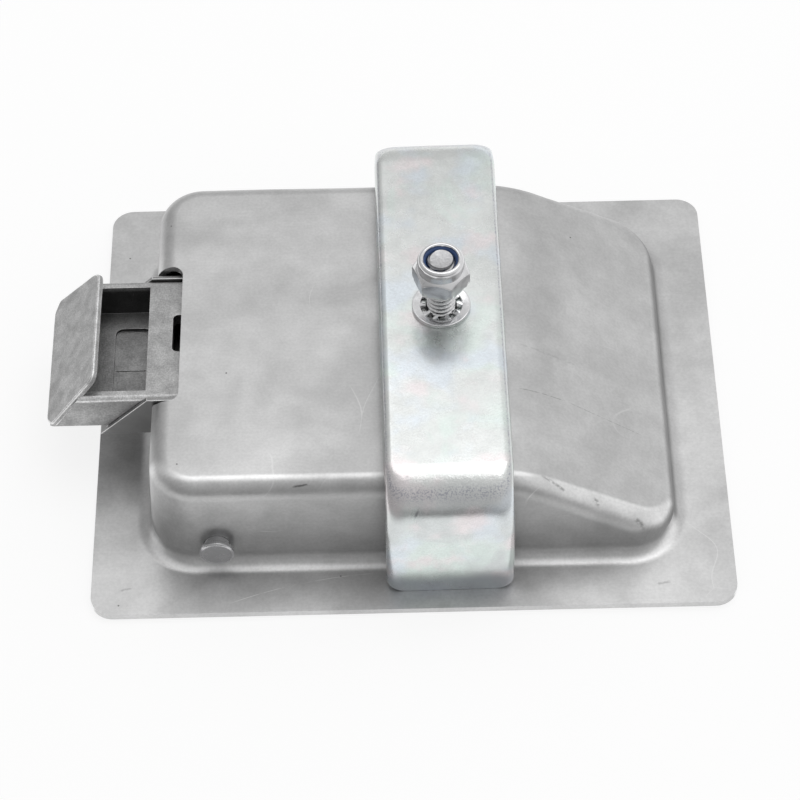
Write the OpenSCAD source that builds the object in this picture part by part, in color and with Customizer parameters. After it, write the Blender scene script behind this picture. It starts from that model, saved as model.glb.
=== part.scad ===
// Flush paddle latch for a tool-box or cabinet door: a drawn tray with a sliding latch bolt,
// a pull paddle in its front and a clamp bracket that holds it in the door's cut-out.
// The latch lies face down. The front of the flange is z = 0 and +Z runs into the cabinet,
// the bolt points along -X, and +Y is the side away from the head of the pivot pin.
// The origin is the middle of the flange, on its front plane. Millimetres throughout.

/* [Flange and tray] */
// Length of the flange along X
flange_l = 139.7; // [136:0.1:146]
// Width of the flange along Y
flange_w = 117.5; // [114:0.1:124]
// Corner radius of the flange
flange_r = 5; // [3:0.1:9]
// Thickness of the stainless sheet
sheet = 1.5; // [1.2:0.05:1.6]
// Depth of the tray from the front of the flange to the back of the tray
tray_h = 26.2; // [26.1:0.1:26.5]
// Where the back of the tray turns down into the finger slope
slope_x = 23.5; // [23.5:0.1:25]
// Angle of the finger slope from the back of the tray
slope_a = 28; // [27:0.1:28.5]
// Radius of the gentle roll between the back of the tray and the finger slope
crease_r = 30; // [20:0.5:30]
// Radius of the bend round the back of the tray
bend_r = 4.3; // [4:0.1:5]
// Radius of the fillet where the tray meets the flange
foot_r = 3.5; // [2:0.1:4]

/* [Clamp bracket] */
// Middle of the bracket, the stud and the nut along X
clamp_x = 7.4; // [7:0.1:7.8]
// How far the bracket is turned about the stud
clamp_turn = 0.6; // [-1:0.1:1]
// Width of the bracket
bracket_w = 27.5; // [24:0.1:28]
// Distance between the outer faces of the legs
bracket_span = 109; // [108:0.1:110]
// Top of the bracket
bracket_top = 32.5; // [32.4:0.05:32.6]
// Thickness of the bracket's sheet
bracket_t = 1.9; // [1.6:0.05:2]
// Outer radius of the bends at the top of the legs
bracket_bend = 11; // [8:0.1:12]

/* [Stud, washer and nut] */
// Thread diameter of the stud, a 1/4 in thread
stud_d = 6.3; // [6.2:0.01:6.35]
// Thread pitch of the stud, 20 threads to the inch
pitch = 1.27; // [1.27:0.01:1.27]
// End of the stud
stud_top = 48.2; // [47.5:0.1:48.4]
// Width of the nut across its flats
nut_af = 11.1; // [10.8:0.1:11.4]
// Underside of the nut
nut_z = 41; // [41:0.1:42]
// Height of the nut with its crown
nut_h = 7.5; // [7.3:0.1:7.6]
// Turn of the nut's corners from the X axis
nut_turn = -10.5; // [-30:0.5:30]
// Outer diameter of the lock washer
washer_d = 12.9; // [12:0.1:14]
// Number of teeth inside the lock washer
washer_teeth = 10; // [8:1:12]

/* [Latch bolt] */
// Half the width of the bolt
bolt_hw = 17; // [16.5:0.1:17]
// Top of the bolt's bar
bolt_top = 24; // [23.8:0.1:24.2]
// Underside of the bolt
bolt_low = 14.7; // [14.5:0.1:14.9]
// Thickness of the bolt's walls
bolt_wall = 2; // [1.6:0.1:2.2]
// End of the bar inside the tray
bolt_tail = -16; // [-17:0.1:-15]
// Height of the ramp's top edge
ramp_top = 29.4; // [28:0.1:30]

/* [Paddle] */
// Pivot of the paddle along X
pivot_x = -42.3; // [-42.5:0.1:-42.1]
// Height of the pivot
pivot_z = 8; // [7.9:0.1:8.1]
// Diameter of the pivot pin
pin_d = 5.6; // [5.2:0.1:5.6]
// Left and right edges of the paddle along X
paddle_x = [-52.6, 22]; // [-54:0.1:24]
// Half the width of the paddle
paddle_hw = 41; // [40:0.1:41]
// Thickness of the paddle's sheet
paddle_t = 1.6; // [1.2:0.1:1.8]
// How far the paddle's face lies behind the front of the flange
paddle_inset = 0.8; // [0.6:0.1:1]

/* [Hidden] */
$fn = 64;

// Small overlap that keeps joined solids from meeting edge to edge
eps = 0.2;
// Running clearance round a pin or shaft
run = 0.07;

// Footprint of the tray at the flange, and how far its walls lean in over the whole depth
dish_x = [-57.3, 57.7];
dish_hw = 45.5;
draft = 1.1;
plan_r = 11;
nose_bend_r = 5;
tray_in = tray_h - sheet;

// Window in the tray for the bolt; its near edge flares out towards the back of the tray
window_y = [-18.5, 18.9];
window_flare = [[-18.5, 22], [-19.8, 26]];
window_low = 12.6;
window_x = -50.2;
window_r = 2.5;

// The bracket sits slightly off centre on the stud
clamp_shift = 0.5;

// Latch bolt
nose_x = -57.6;
ramp_low = [-80.2, 15];
ramp_edge = [-68.7, ramp_top];
ramp_t = 1.45;
floor_z = bolt_low + 1.3;
recess = [-65.8, 9.6];
recess_z = floor_z - 0.6;
bar_t = 3.2;
slot_x = [-52.2, -41.3];
slot_y = [-4, 6.6];

// Guide round the bolt
guide_t = 0.9;
guide_in = bolt_hw + 0.15;
guide_out = guide_in + guide_t;
guide_base = 13;

// Pull finger: its cheeks stand on the paddle and its web sits in the bolt's slot
finger_y = [slot_y[0] + 0.8, slot_y[1] - 0.8];
finger_t = 1.8;
web_x = [-44.6, -41.6];
finger_top = 24.3;
eye_r = 4.6;
foot_l = 8;
foot_w = 9.2;

// Paddle
paddle_in = paddle_inset + paddle_t;
rim_z = 6;
ear_hx = 5;

// Groove and clip at the far end of the pivot pin
clip_y = 46.3;

// Bracket behind the paddle that carries the spring rods and the stop pads
rear_x = 14.5;
rear_t = 1.5;
rear_lip = 4.5;
rear_hw = 20;
rear_foot_z = 7;
pad_x = 17.2;
pad_y = 14;
pad_r = 2.9;

// Spring rods and springs
rod_y = 10;
rod_z = 18;
rod_r = 1.5;
rod_end = -27;
spring_wire = 0.9;
spring_r = 2.9;
spring_turns = 10;

// Torsion spring on the pivot pin
coil_wire = 1.1;
coil_r = 4.4;
coil_turns = 7;
coil_y = -37;
coil_pitch = 1.25;

// Flat plate with round corners, in the XY plane
module round_plate(size, r, h) {
    linear_extrude(h) {
        square([size.x - 2 * r, size.y], center = true);
        square([size.x, size.y - 2 * r], center = true);
        for (sx = [-1, 1], sy = [-1, 1])
            translate([sx * (size.x / 2 - r), sy * (size.y / 2 - r)]) circle(r);
    }
}

// Outline in X and Z, extruded along Y from y0 to y1
module across(y0, y1) {
    translate([0, y1, 0]) rotate([90, 0, 0]) linear_extrude(y1 - y0) children();
}

// Outline in Y and Z, extruded along X from x0 to x1
module along(x0, x1) {
    translate([x0, 0, 0]) rotate([90, 0, 90]) linear_extrude(x1 - x0) children();
}

// Cylinder lying along Y
module rod_y_axis(r, y0, y1) {
    translate([0, y1, 0]) rotate([90, 0, 0]) cylinder(r = r, h = y1 - y0);
}

// Cylinder lying along X
module rod_x_axis(r, x0, x1) {
    translate([x0, 0, 0]) rotate([0, 90, 0]) cylinder(r = r, h = x1 - x0);
}

// Round wire swept along a path that winds about the given axis
module wire(path, r, axis, sides = 8) {
    last = len(path) - 1;
    rings = [
        for (i = [0:last])
            let (
                t = path[min(i + 1, last)] - path[max(i - 1, 0)],
                u = cross(t, axis) / norm(cross(t, axis)),
                v = cross(u, t) / norm(cross(u, t))
            )
            for (j = [0:sides - 1])
                path[i] + r * (cos(360 * j / sides) * u + sin(360 * j / sides) * v)
    ];
    walls = [
        for (i = [0:last - 1], j = [0:sides - 1])
            let (a = i * sides + j, b = i * sides + (j + 1) % sides)
            for (f = [[a, b, b + sides], [a, b + sides, a + sides]]) f
    ];
    near_cap = [for (j = [sides - 1:-1:0]) j];
    far_cap = [for (j = [0:sides - 1]) last * sides + j];
    polyhedron(points = rings, faces = concat(walls, [near_cap, far_cap]), convexity = 6);
}

// Puck with a rounded rim, the building block of the tray's corners
module puck(plan, bend) {
    rotate_extrude($fn = 40) intersection() {
        translate([plan - bend, 0]) circle(bend, $fn = 40);
        translate([0, -bend]) square([plan, 2 * bend]);
    }
    translate([0, 0, -bend]) cylinder(r = max(plan - bend, 0.01), h = 2 * bend, $fn = 40);
}

// Solid form of the tray, drawn in by the given amount on every side
module dish(inset, base_z) {
    slope_c = slope_x * sin(slope_a) + tray_h * cos(slope_a);
    end_x = dish_x[1] - 0.3 - plan_r;
    end_z = (slope_c - end_x * sin(slope_a) - (plan_r - nose_bend_r) * sin(slope_a) - nose_bend_r)
        / cos(slope_a);
    turn_z = tray_h - bend_r;
    roll_x = slope_x - crease_r * tan(slope_a / 2);
    top_y = dish_hw - draft - plan_r;
    hull() for (s = [-1, 1]) {
        translate([dish_x[0] + draft + plan_r, s * top_y, turn_z]) puck(plan_r - inset, bend_r - inset);
        for (k = [0:3]) {
            a = slope_a * k / 3;
            crease_x = roll_x + (crease_r - bend_r) * sin(a) - plan_r + bend_r;
            crease_z = tray_h - crease_r + (crease_r - bend_r) * cos(a);
            translate([crease_x, s * top_y, crease_z]) puck(plan_r - inset, bend_r - inset);
        }
        translate([end_x, s * (dish_hw - 0.3 - plan_r), end_z]) puck(plan_r - inset, nose_bend_r - inset);
        for (x = [dish_x[0] + plan_r, dish_x[1] - plan_r])
            translate([x, s * (dish_hw - plan_r), base_z]) cylinder(r = plan_r - inset, h = 0.5, $fn = 40);
    }
}

// Concave fillet section, its corner at the origin
module cove() {
    difference() {
        translate([-1, -eps]) square([1 + foot_r, foot_r + eps]);
        translate([foot_r, foot_r]) circle(foot_r);
    }
}

// Fillet that runs round the foot of the tray
module foot_fillet() {
    mid_x = (dish_x[0] + dish_x[1]) / 2;
    half = [(dish_x[1] - dish_x[0]) / 2 - plan_r, dish_hw - plan_r];
    translate([mid_x, 0, sheet - 0.1]) {
        for (k = [0:3]) {
            run_x = (k % 2 == 0) ? half.x : half.y;
            out = ((k % 2 == 0) ? half.y : half.x) + plan_r;
            rotate([0, 0, 90 * k - 90]) translate([out, run_x, 0])
                rotate([90, 0, 0]) linear_extrude(2 * run_x) cove();
        }
        for (sx = [-1, 1], sy = [-1, 1])
            translate([sx * half.x, sy * half.y, 0])
                rotate([0, 0, (sx > 0 ? (sy > 0 ? 0 : 270) : (sy > 0 ? 90 : 180))])
                    rotate_extrude(angle = 90) translate([plan_r, 0]) cove();
    }
}

// Opening through the tray's corner for the bolt
module bolt_window() {
    plate_l = 20;
    intersection() {
        along(window_x - plate_l, window_x) polygon([
            [window_y[0], window_low], window_flare[0], window_flare[1], [window_flare[1][0], 40],
            [window_y[1], 40], [window_y[1], window_low]
        ]);
        translate([window_x - plate_l / 2, (window_flare[1][0] + window_y[1]) / 2, 0])
            round_plate([plate_l, window_y[1] - window_flare[1][0]], window_r, 50);
    }
}

module tray() {
    color("#a9abad")
    difference() {
        union() {
            round_plate([flange_l, flange_w], flange_r, sheet);
            dish(0, 0);
            foot_fillet();
        }
        dish(sheet, -1);
        bolt_window();
        translate([pivot_x, 0, pivot_z]) rod_y_axis(pin_d / 2 + 0.05, -60, 60);
        translate([clamp_x, 0, tray_in - 2]) cylinder(d = stud_d + 0.4, h = 8);
    }
}

// Weld stud: a flat head inside the tray and a threaded shank through its back
module stud() {
    r = stud_d / 2;
    depth = 0.61 * pitch;
    thread_z = bracket_top + 0.1;
    threads = floor((stud_top - 1.6 - thread_z) / pitch);
    crest = 0.12 * pitch;
    root = [
        for (i = [0:threads - 1])
            let (z = thread_z + i * pitch)
            for (p = [[r, z + crest], [r - depth, z + 0.44 * pitch], [r - depth, z + 0.56 * pitch],
                [r, z + pitch - crest]]) p
    ];
    color("#d6d7d9")
    translate([clamp_x, 0, 0]) rotate_extrude() polygon(concat(
        [[0, tray_in - 1.8], [6, tray_in - 1.8], [6, tray_in], [r, tray_in]],
        root,
        [[r, stud_top - 1.3], [r - 0.6, stud_top], [0, stud_top]]
    ));
}

// Channel that carries the bolt through the window, with feet under the back of the tray
module bolt_guide() {
    top = tray_in - guide_t;
    cheek = [
        [-68.3, guide_base], [-57.3, bolt_top + 0.2], [-48.5, bolt_top + 0.2],
        [-46.5, top], [-46, tray_in], [-30, tray_in], [-30, guide_base + 2], [-32, guide_base],
        [-45, guide_base]
    ];
    color("#8f9193") {
        difference() {
            across(-guide_out, guide_out) polygon(cheek);
            translate([-80, -guide_in, bolt_low - 0.1]) cube([60, 2 * guide_in, 40]);
            translate([-47, -guide_in, guide_base - 1]) cube([30, 2 * guide_in, 40]);
        }
        for (s = [-1, 1])
            translate([-46, s > 0 ? guide_out - eps : -guide_out + eps - 7.5, top])
                cube([16, 7.5, guide_t]);
    }
}

module rear_bracket() {
    color("#9a9c9e")
    difference() {
        union() {
            translate([rear_x, -rear_hw, rear_foot_z]) cube([rear_t, 2 * rear_hw, tray_in - rear_foot_z]);
            translate([rear_x - rear_lip, -rear_hw, tray_in - rear_t])
                cube([rear_lip + rear_t, 2 * rear_hw, rear_t]);
            translate([rear_x, -rear_hw, rear_foot_z]) cube([6, 2 * rear_hw, rear_t]);
        }
        for (s = [-1, 1])
            translate([0, s * rod_y, rod_z]) rod_x_axis(rod_r, rear_x - 1, rear_x + 3);
        translate([rear_x - 1, -5, rear_foot_z + 5]) cube([9, 10, 8]);
        translate([clamp_x, 0, tray_in - rear_t - 1]) cylinder(r = 6.6, h = 5);
    }
}

// Rod that keeps a bolt spring straight, riveted over behind the rear bracket
module spring_rod(s) {
    color("#c9cbcd")
    translate([0, s * rod_y, rod_z]) {
        rod_x_axis(rod_r, rod_end, rear_x + rear_t + eps);
        translate([rear_x + rear_t, 0, 0]) rotate([0, 90, 0]) cylinder(r1 = 2.5, r2 = 1.7, h = 0.9);
    }
}

// Compression spring between the bolt's tail and the rear bracket
module bolt_spring(s) {
    free = rear_x - bolt_tail - spring_wire - 0.1;
    steps = 14 * spring_turns;
    path = [
        for (i = [0:steps])
            let (u = i / steps, a = 360 * spring_turns * u)
            let (x = bolt_tail + 0.05 + spring_wire / 2 + free * u)
            [x, s * rod_y + spring_r * cos(a), rod_z + spring_r * sin(a)]
    ];
    color("#bfc1c4") wire(path, spring_wire / 2, [1, 0, 0]);
}

module pivot_pin() {
    r = pin_d / 2;
    color("#b4b6b8")
    translate([pivot_x, 0, pivot_z]) difference() {
        union() {
            rod_y_axis(r, -47.2, 48);
            rod_y_axis(r + 0.95, -48.1, -46.8);
        }
        difference() {
            rod_y_axis(r + 1, clip_y - 0.05, clip_y + 0.85);
            rod_y_axis(r - 0.6, 45, 49);
        }
    }
}

// Push-on clip in the groove at the far end of the pivot pin
module pin_clip() {
    r = pin_d / 2;
    color("#b9babc")
    translate([pivot_x, 0, pivot_z]) difference() {
        rod_y_axis(r + 2.2, clip_y, clip_y + 0.8);
        rod_y_axis(r - 0.55, 45, 49);
        translate([-1.9, 45, -8]) cube([3.8, 4, 8]);
        for (a = [-125, 125])
            rotate([0, a, 0]) translate([0, 0, r + 0.4]) rod_y_axis(0.9, 45, 49);
    }
}

// Nylon washer that centres the paddle between the walls of the tray
module spacer(s) {
    half_t = 1.05;
    y = s * (paddle_hw + 0.15 + half_t);
    color("#e9e6dc")
    translate([pivot_x, 0, pivot_z]) difference() {
        rod_y_axis(4.6, y - half_t, y + half_t);
        rod_y_axis(pin_d / 2 + 0.05, -60, 60);
    }
}

module stop_pads() {
    color("#2a2a2c")
    for (s = [-1, 1])
        translate([pad_x, s * pad_y, paddle_in + 0.05]) cylinder(r = pad_r, h = rear_foot_z - paddle_in - 0.05);
}

// Torsion spring: one leg bears on the paddle left of the pivot, the other under the tray's back
module paddle_spring() {
    steps = 14 * coil_turns;
    start_a = 250;
    end_a = start_a + 360 * coil_turns + 138;
    coil = [
        for (i = [0:steps])
            let (u = i / steps, a = start_a + (end_a - start_a) * u)
            [pivot_x + coil_r * cos(a), coil_y + coil_pitch * coil_turns * u, pivot_z + coil_r * sin(a)]
    ];
    paddle_leg = [pivot_x - 8.5, coil_y - 0.1, paddle_in + coil_wire / 2 + 0.1];
    back_leg = [pivot_x - 5, coil_y + coil_pitch * coil_turns + 0.1, tray_in - 1.2];
    color("#bfc1c4") wire(concat([paddle_leg], coil, [back_leg]), coil_wire / 2, [0, 1, 0]);
}

// Pressed sheet paddle with side rims, a pull lip and an ear on each side for the pivot pin
module paddle() {
    length = paddle_x[1] - paddle_x[0];
    mid = (paddle_x[0] + paddle_x[1]) / 2;
    rim_x = pivot_x + ear_hx;
    corner = 6;
    color("#a2a4a6")
    difference() {
        union() {
            translate([mid, 0, paddle_inset]) round_plate([length, 2 * paddle_hw], corner, paddle_t);
            translate([paddle_x[1] - paddle_t, -paddle_hw + corner, paddle_inset + 0.2])
                cube([paddle_t, 2 * (paddle_hw - corner), rim_z - paddle_inset - 0.2]);
            for (y = [-paddle_hw, paddle_hw - paddle_t]) across(y, y + paddle_t) {
                translate([pivot_x, pivot_z]) circle(ear_hx);
                translate([pivot_x - ear_hx, paddle_in - 0.8]) square([2 * ear_hx, pivot_z - paddle_in + 0.8]);
                translate([rim_x - 1, paddle_in - 0.8])
                    square([paddle_x[1] - corner - rim_x + 1, rim_z - paddle_in + 0.8]);
            }
        }
        translate([pivot_x, 0, pivot_z]) rod_y_axis(pin_d / 2 + run, -60, 60);
    }
}

// Bent lever riveted to the paddle: its web pulls the bolt back through the slot in the bar
module pull_finger() {
    low = paddle_in;
    color("#8b8d8f")
    difference() {
        union() {
            for (y = [finger_y[0], finger_y[1] - finger_t]) across(y, y + finger_t) {
                translate([pivot_x, pivot_z]) circle(eye_r);
                translate([web_x[0], pivot_z]) square([web_x[1] - web_x[0], finger_top - pivot_z - 1]);
                translate([pivot_x - eye_r, low]) square([2 * eye_r, pivot_z - low]);
            }
            translate([web_x[0], finger_y[0], 12.5])
                cube([web_x[1] - web_x[0], finger_y[1] - finger_y[0], finger_top - 14]);
            across(finger_y[0], finger_y[1])
                translate([(web_x[0] + web_x[1]) / 2, finger_top - 1.5]) circle(1.5);
            for (y = [finger_y[0] - foot_l, finger_y[1] - eps])
                translate([pivot_x - foot_w / 2, y, low]) cube([foot_w, foot_l + eps, finger_t]);
        }
        translate([pivot_x, 0, pivot_z]) rod_y_axis(pin_d / 2 + run, -60, 60);
        for (y = [finger_y[0] - foot_l / 2, finger_y[1] + foot_l / 2])
            translate([pivot_x, y, low - 1]) cylinder(r = 1.6, h = 5);
    }
}

// Blind rivets through the feet of the pull finger, set into the paddle
module finger_rivets() {
    color("#d0d1d3")
    for (y = [finger_y[0] - foot_l / 2, finger_y[1] + foot_l / 2])
        translate([pivot_x, y, paddle_in]) {
            cylinder(r = 1.55, h = finger_t + eps);
            translate([0, 0, finger_t]) cylinder(r1 = 2.2, r2 = 1.4, h = 0.5);
        }
}

// Outline of the ramp plate, seen square on, with its foot at the origin
module ramp_outline(len_v) {
    foot_hw = bolt_hw + 1;
    top_hw = bolt_hw - 1.4;
    foot_cut = 2.6;
    top_cut = 1.4;
    polygon([
        [-foot_hw + foot_cut, 0], [foot_hw - foot_cut, 0], [foot_hw, foot_cut * 0.8],
        [top_hw + 0.2, len_v - top_cut * 1.4], [top_hw - top_cut * 0.4, len_v - top_cut * 0.4],
        [top_hw - top_cut * 1.4, len_v], [-top_hw + top_cut * 1.4, len_v],
        [-top_hw + top_cut * 0.4, len_v - top_cut * 0.4], [-top_hw - 0.2, len_v - top_cut * 1.4],
        [-foot_hw, foot_cut * 0.8]
    ]);
}

// Cast latch bolt: hollow ramped nose, flat bar with a slot for the finger, and a tail for the springs
module latch_bolt() {
    rise = ramp_edge - ramp_low;
    ramp_a = atan2(rise.y, rise.x);
    ramp_l = norm(rise);
    inner = ramp_t / sin(ramp_a);
    wall_x = ramp_low.x + (bolt_top - ramp_low.y) / tan(ramp_a) + inner / 2;
    hollow_x = ramp_low.x + (floor_z - ramp_low.y) / tan(ramp_a) + inner;
    hollow_rise = 9;
    in_hw = bolt_hw - bolt_wall;
    block = [
        [bolt_tail, bolt_top], [wall_x, bolt_top], [ramp_low.x + inner / 2, ramp_low.y],
        [ramp_low.x + 1.6, bolt_low], [bolt_tail, bolt_low]
    ];
    color("#8d8f91")
    difference() {
        union() {
            across(-bolt_hw, bolt_hw) polygon(block);
            translate([ramp_low.x, 0, ramp_low.y]) rotate([0, -ramp_a, 0]) translate([0, 0, -ramp_t])
                rotate([0, 0, -90]) linear_extrude(ramp_t) ramp_outline(ramp_l);
        }
        intersection() {
            across(-bolt_hw, bolt_hw) polygon([
                [nose_x, floor_z], [nose_x, bolt_top + 1],
                [hollow_x + hollow_rise / tan(ramp_a), floor_z + hollow_rise], [hollow_x, floor_z]
            ]);
            along(ramp_low.x, nose_x + 1) polygon([
                [-in_hw, bolt_top + 1], [in_hw, bolt_top + 1], [in_hw - 0.7, floor_z - 1],
                [0.7 - in_hw, floor_z - 1]
            ]);
        }
        translate([recess.x, -in_hw + 1, recess_z]) cube([nose_x - recess.x, in_hw - 1 + recess.y, 2]);
        translate([nose_x + 1.6, -in_hw, bolt_low - 1])
            cube([bolt_tail - nose_x - 1.6 - bolt_wall, 2 * in_hw, bolt_top - bar_t - bolt_low + 1]);
        translate([slot_x[0], slot_y[0], bolt_low]) cube([slot_x[1] - slot_x[0], slot_y[1] - slot_y[0], 20]);
        for (s = [-1, 1])
            translate([0, s * rod_y, rod_z]) rod_x_axis(rod_r + 0.3, bolt_tail - 6, bolt_tail + 2);
    }
}

// Section of the bracket along Y, drawn in from its outer face by the given amount
module strap_section(inset) {
    r = bracket_bend - inset;
    hw = bracket_span / 2 - inset;
    top = bracket_top - inset;
    translate([-hw, -5]) square([2 * hw, top + 5 - r]);
    translate([-hw + r, -5]) square([2 * (hw - r), top + 5]);
    for (s = [-1, 1]) translate([s * (hw - r), top - r]) circle(r);
}

// Folded clamp strap: legs down both sides of the tray, and a lip along each long edge
module clamp_bracket() {
    hw = bracket_w / 2;
    lip = 2.6;
    foot_z = sheet + 0.05;
    corner = 2;
    color("#cfd5d2")
    translate([clamp_x, 0, 0]) rotate([0, 0, clamp_turn]) difference() {
        translate([0, clamp_shift, 0]) difference() {
            along(-hw, hw) strap_section(0);
            along(-hw - 1, hw + 1) strap_section(lip);
            along(-hw + bracket_t, hw - bracket_t) strap_section(bracket_t);
            translate([-50, -100, -50]) cube([100, 200, 50 + foot_z]);
            across(-60, 60) for (s = [-1, 1]) difference() {
                translate([s * (hw - corner / 2 + 0.5), foot_z + corner / 2 - 0.5])
                    square(corner + 1, center = true);
                translate([s * (hw - corner), foot_z + corner]) circle(corner);
            }
        }
        translate([0, 0, bracket_top - 6]) cylinder(r = stud_d / 2 + 0.4, h = 10);
    }
}

// Lock washer with twisted teeth on its inner edge
module lock_washer() {
    z = bracket_top + 0.02;
    t = 0.9;
    ring_r = washer_d / 2 - 1.9;
    tooth_r = [stud_d / 2 + 0.25, ring_r + eps];
    color("#d3d4d6")
    translate([clamp_x, 0, z]) {
        difference() {
            cylinder(d = washer_d, h = t);
            translate([0, 0, -1]) cylinder(r = ring_r, h = 3);
        }
        for (i = [0:washer_teeth - 1])
            rotate([0, 0, 360 * i / washer_teeth]) translate([(tooth_r[0] + tooth_r[1]) / 2, 0, t / 2 + 0.12])
                rotate([28, 0, 0]) cube([tooth_r[1] - tooth_r[0], 1.15, 0.55], center = true);
    }
}

// Steel body of the lock nut: a hexagon with a rolled crown over the insert
module nut_shell() {
    hex_h = nut_h * 0.62;
    crown_r = 5.15;
    lip_r = 3.8;
    ac = nut_af / cos(30);
    color("#dcdddf")
    translate([clamp_x, 0, nut_z]) difference() {
        union() {
            intersection() {
                rotate([0, 0, nut_turn]) cylinder(d = ac, h = hex_h, $fn = 6);
                rotate_extrude() polygon([
                    [0, 0], [nut_af / 2 - 0.1, 0], [ac / 2 + 0.05, 0.7], [ac / 2 + 0.05, hex_h - 1.1],
                    [crown_r, hex_h], [0, hex_h]
                ]);
            }
            translate([0, 0, hex_h - eps]) rotate_extrude() polygon([
                [0, 0], [crown_r, 0], [crown_r, 1.3 + eps], [crown_r - 0.25, 2 + eps],
                [crown_r - 0.8, nut_h - hex_h + eps], [0, nut_h - hex_h + eps]
            ]);
        }
        translate([0, 0, -1]) cylinder(d = stud_d + 0.2, h = nut_h + 2);
        translate([0, 0, nut_h - 3.1]) cylinder(r = 4.35, h = 2.5);
        translate([0, 0, nut_h - 2]) cylinder(r = lip_r, h = 3);
    }
}

module nylon_insert() {
    color("#27406e")
    translate([clamp_x, 0, nut_z + nut_h - 3.05]) difference() {
        cylinder(r = 4.3, h = 2.35);
        translate([0, 0, -1]) cylinder(d = stud_d + 0.1, h = 5);
    }
}

tray();
stud();
bolt_guide();
rear_bracket();
spring_rod(-1);  // spring_rod_near
spring_rod(1);  // spring_rod_far
bolt_spring(-1);  // bolt_spring_near
bolt_spring(1);  // bolt_spring_far
pivot_pin();
pin_clip();
spacer(-1);  // spacer_near
spacer(1);  // spacer_far
stop_pads();
paddle_spring();
paddle();
pull_finger();
finger_rivets();
latch_bolt();
clamp_bracket();
lock_washer();
nut_shell();
nylon_insert();
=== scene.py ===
"""Looks of a flush paddle latch that lies on its face, seen from the cabinet side.

Pieces are built in millimetres and scaled to metres as they are finished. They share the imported
model's frame: +Z runs from the front of the flange into the cabinet, and the bolt points along -X.
"""
from math import atan2, copysign, cos, dist, hypot, pi, radians, sin, sqrt, tan, tau

import bmesh
import bpy
import numpy as np
from mathutils import Matrix, Vector
from mathutils import noise as vnoise

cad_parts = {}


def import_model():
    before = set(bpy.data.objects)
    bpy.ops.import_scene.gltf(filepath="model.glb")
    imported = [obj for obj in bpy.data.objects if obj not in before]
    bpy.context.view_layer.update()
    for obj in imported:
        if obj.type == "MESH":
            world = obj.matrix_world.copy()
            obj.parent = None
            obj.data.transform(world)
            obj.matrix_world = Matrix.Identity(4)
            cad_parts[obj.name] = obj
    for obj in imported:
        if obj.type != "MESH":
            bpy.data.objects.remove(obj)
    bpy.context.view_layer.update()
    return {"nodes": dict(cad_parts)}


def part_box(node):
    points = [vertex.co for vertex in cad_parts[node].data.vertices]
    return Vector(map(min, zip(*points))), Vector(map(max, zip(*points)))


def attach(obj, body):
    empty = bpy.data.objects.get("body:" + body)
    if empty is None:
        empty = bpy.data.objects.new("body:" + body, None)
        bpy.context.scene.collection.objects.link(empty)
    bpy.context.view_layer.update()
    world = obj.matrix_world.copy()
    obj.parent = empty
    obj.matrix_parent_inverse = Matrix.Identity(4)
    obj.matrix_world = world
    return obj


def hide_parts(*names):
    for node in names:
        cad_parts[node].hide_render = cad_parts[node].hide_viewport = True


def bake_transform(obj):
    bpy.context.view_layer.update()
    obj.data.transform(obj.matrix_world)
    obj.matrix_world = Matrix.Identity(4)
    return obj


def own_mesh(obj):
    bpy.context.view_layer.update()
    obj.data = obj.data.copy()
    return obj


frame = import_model()

MM = 0.001
SCENE = bpy.context.scene


def box_mm(node):
    """Lowest and highest corner of a CAD node, in millimetres."""
    lo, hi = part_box(node)
    return np.array(lo) / MM, np.array(hi) / MM


# -------- dimensions, from the frame where it has them
TRAY_LO, TRAY_HI = box_mm("tray")
FLANGE_HALF = (TRAY_HI - TRAY_LO)[:2] / 2
FLANGE_R = 5.0
SHEET = 1.5
BACK_Z = TRAY_HI[2]
DISH_X = (-57.3, 57.7)
DISH_HALF_Y = 45.5
PLAN_R = 11.0
DRAFT = (1.1, 0.3)
BEND_R = (4.3, 5.0)
FOOT_R = 3.5
CREASE_R = 30.0
SLOPE_X = 23.5
SLOPE_A = radians(28)

# Unevenness of the pressed sheets: depth in millimetres and waves per millimetre
TRAY_WAVE = (0.12, 0.045)
STRAP_WAVE = (0.05, 0.11)

STRAP_TOP = box_mm("clamp_bracket")[1][2]
STRAP_T = 1.9
STRAP_HALF = 13.75
STRAP_LIP = 2.6
STRAP_BEND = 11.0
STRAP_TURN = radians(0.6)
STRAP_Y = (-54.0, 55.0)
STRAP_CORNER = 1.9
STRAP_PINCH = 2.9
STRAP_FOOT_R = 2.0

STUD_LO, STUD_HI = box_mm("stud")
STUD_X = (STUD_LO[0] + STUD_HI[0]) / 2
STUD_R = 3.15
PITCH = 1.27

PIN_LO, PIN_HI = box_mm("pivot_pin")
PIN_X = (PIN_LO[0] + PIN_HI[0]) / 2
PIN_Z = (PIN_LO[2] + PIN_HI[2]) / 2
PIN_R = 2.8

BOLT_HALF = 17.0
BOLT_TOP = 24.0
BOLT_LOW = 14.7
BOLT_WALL = 2.0
BAR_T = 3.2
BOLT_TAIL = -16.0
RAMP_LOW = (-80.2, 15.0)
RAMP_EDGE = (-68.7, 29.4)
RAMP_LEAN = atan2(RAMP_EDGE[1] - RAMP_LOW[1], RAMP_EDGE[0] - RAMP_LOW[0])
RAMP_T = 1.45
NOSE_X = -57.6
NOSE_FLOOR = 16.0
RECESS = (-65.8, 9.6)
RECESS_Z = 15.2
SLOT_X = (-52.2, -41.3)
SLOT_Y = (-4.0, 6.6)
ROD_Y = 10.0
ROD_Z = 18.0


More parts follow.
